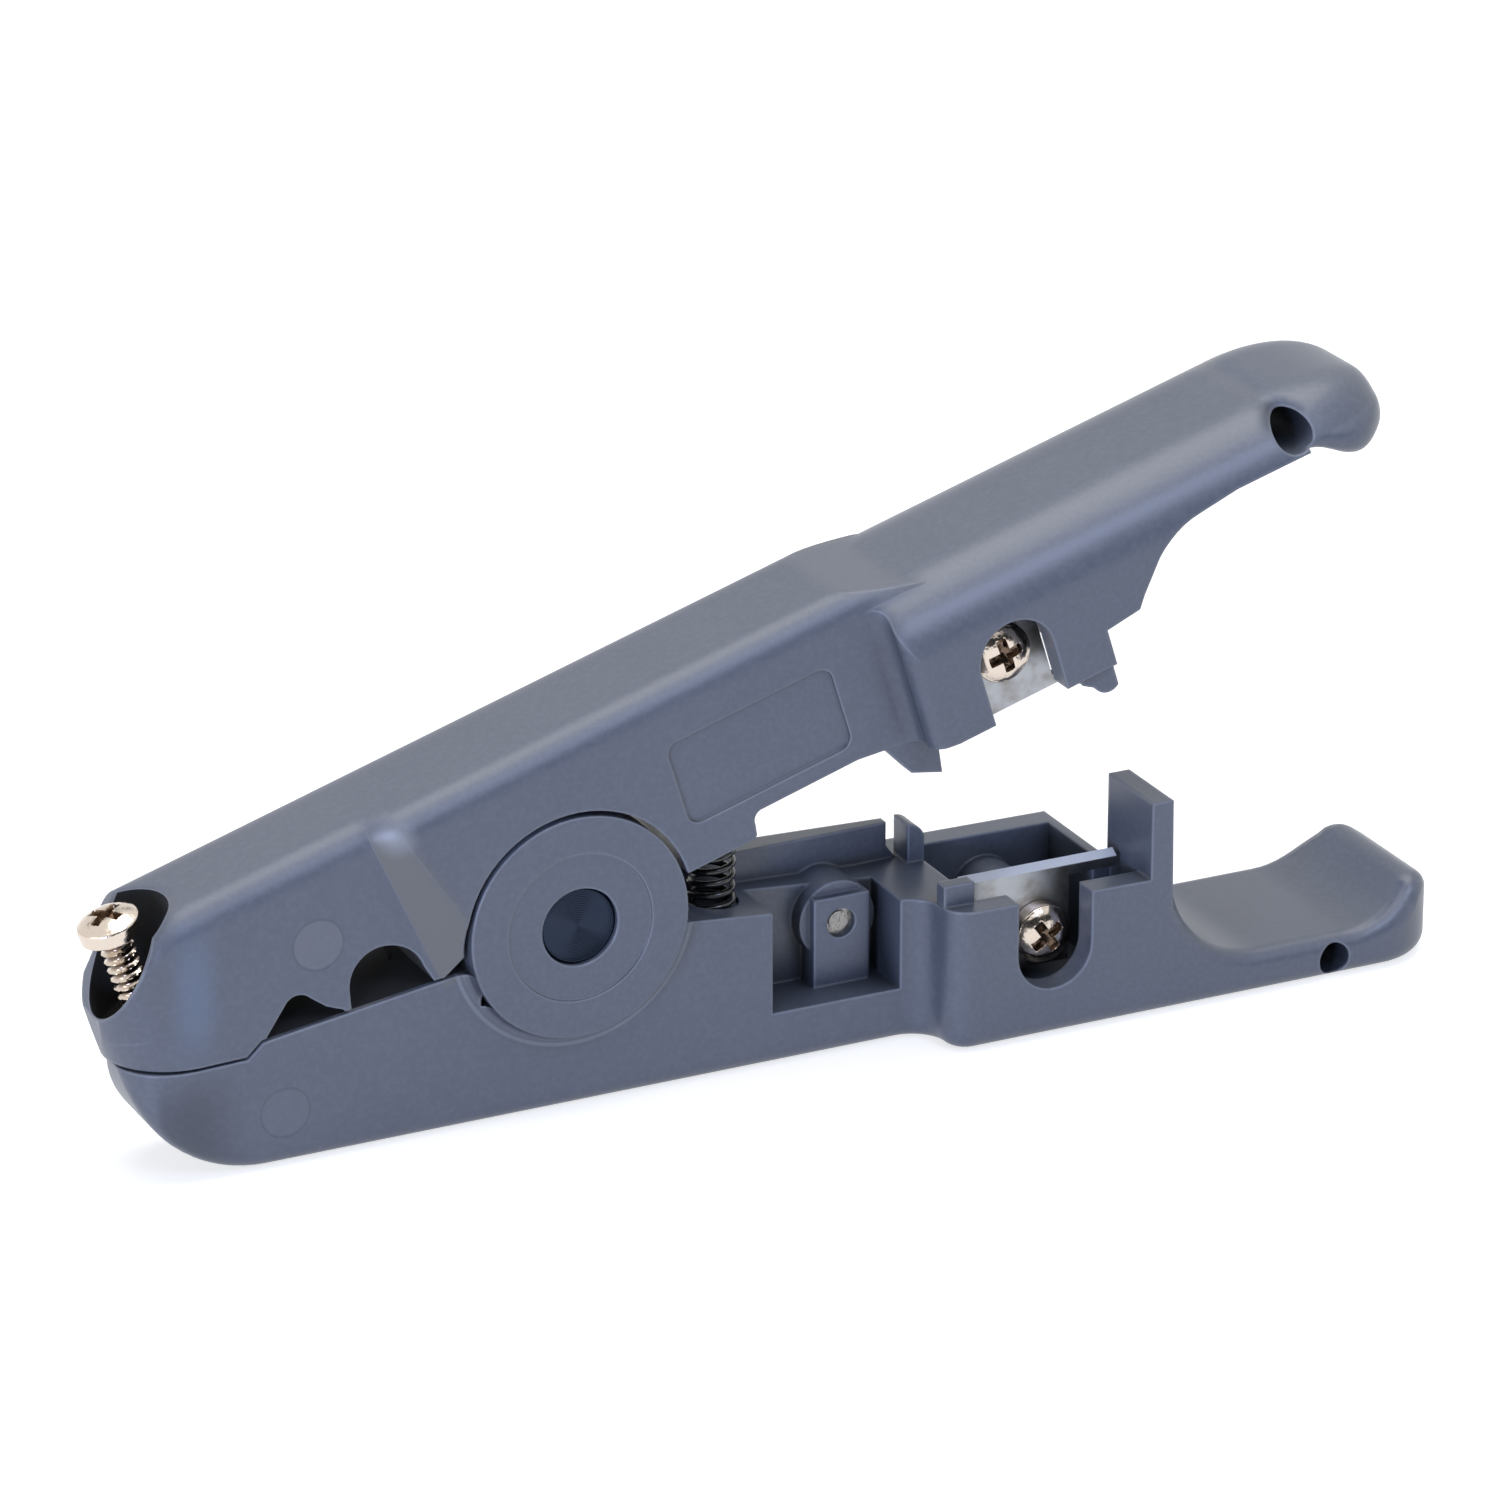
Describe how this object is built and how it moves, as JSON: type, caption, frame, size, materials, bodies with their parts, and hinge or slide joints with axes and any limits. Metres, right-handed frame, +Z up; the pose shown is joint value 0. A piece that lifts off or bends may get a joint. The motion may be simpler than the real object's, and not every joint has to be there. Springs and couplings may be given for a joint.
{
  "type": "hand cable stripper",
  "caption": "Pocket cable stripper: two sprung moulded arms on a pin, notched jaw, blades between the grips.",
  "frame": {"origin": "on the resting face, under the pivot pin, midway between the sides", "axes": "+X towards the grip ends, -Y the side with the disc and blade windows, +Z up"},
  "size_m": [0.1264, 0.02, 0.0552],
  "materials": {
    "body_plastic": "satin blue-grey moulding",
    "black_steel": "gloss black",
    "black_spring": "black oxide",
    "nickel": "bright nickel plate",
    "blade_steel": "ground"
  },
  "bodies": {
    "base": {"lower_arm": "body_plastic", "pivot_pin": "black_steel", "lower_blade": "blade_steel", "lower_blade_screw": "nickel", "block_screw": "nickel", "return_spring": "black_spring"},
    "lever": {"upper_arm": "body_plastic", "upper_blade": "blade_steel", "upper_blade_screw": "nickel", "jaw_blade": "blade_steel"},
    "adjuster": {"adjusting_screw": "nickel"}
  },
  "joints": [
    {"name": "handle", "type": "hinge", "parent": "base", "child": "lever", "pos_m": [0, 0, 0.0172], "axis": [0, 1, 0], "range_deg": [0, 19], "stiffness_Nm_per_rad": 0.3, "springref_deg": -20.05, "deforming": ["return_spring"]},
    {"name": "adjuster_travel", "type": "slide", "parent": "lever", "child": "adjuster", "axis": [-0.2974, 0, 0.9548], "range_m": [0, 0.002]}
  ]
}
